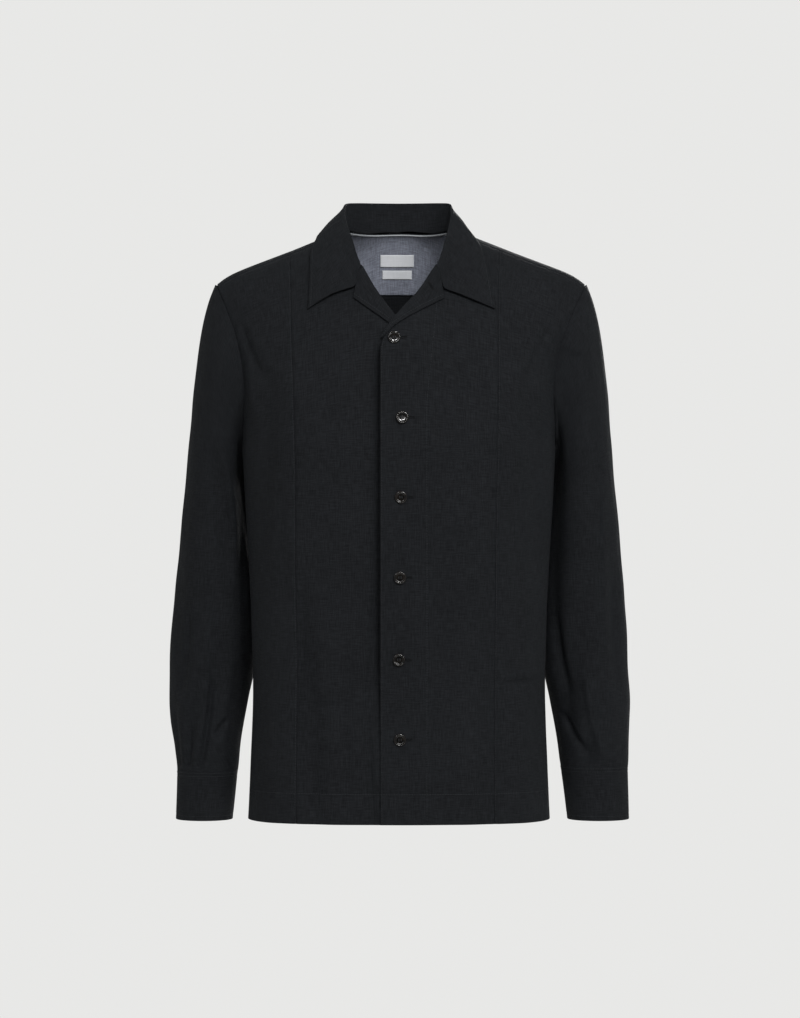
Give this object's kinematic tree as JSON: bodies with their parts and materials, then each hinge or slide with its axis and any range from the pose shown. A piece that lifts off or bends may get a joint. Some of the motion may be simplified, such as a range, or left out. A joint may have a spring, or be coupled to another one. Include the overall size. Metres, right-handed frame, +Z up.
{
  "type": "shirt",
  "caption": "Long-sleeved camp-collar linen shirt, buttoned down the front and filled out as if worn, with a straight hem, yoke, panelled fronts and buttoned cuffs.",
  "frame": {"origin": "middle of the neck opening, between the tops of the two shoulders, where the shirt hangs from the wearer", "axes": "+Z up from hem to collar, -Y towards the buttoned front, +X towards the wearer's left sleeve"},
  "size_m": [0.5903, 0.2574, 0.7887],
  "materials": {
    "linen": "matt plain weave linen, near black",
    "lining": "matt grey-blue chambray",
    "piping": "matt pale grey binding",
    "label": "smooth woven, blank",
    "button": "polished dark horn look"
  },
  "bodies": {
    "root": {"front_centre_right": "linen", "front_side_right": "linen", "lapel_right": "linen", "sleeve_right": "linen", "sleeve_placket_right": "linen", "cuff_right": "linen", "front_centre_left": "linen", "front_side_left": "linen", "lapel_left": "linen", "sleeve_left": "linen", "sleeve_placket_left": "linen", "cuff_left": "linen", "back": "linen", "yoke": "linen", "yoke_lining": "lining", "collar": "linen", "neck_piping": "piping", "label_main": "label", "label_size": "label", "button_1": "button", "button_2": "button", "button_3": "button", "button_4": "button", "button_5": "button", "button_6": "button", "cuff_button_right": "button", "cuff_button_left": "button"}
  },
  "joints": []
}
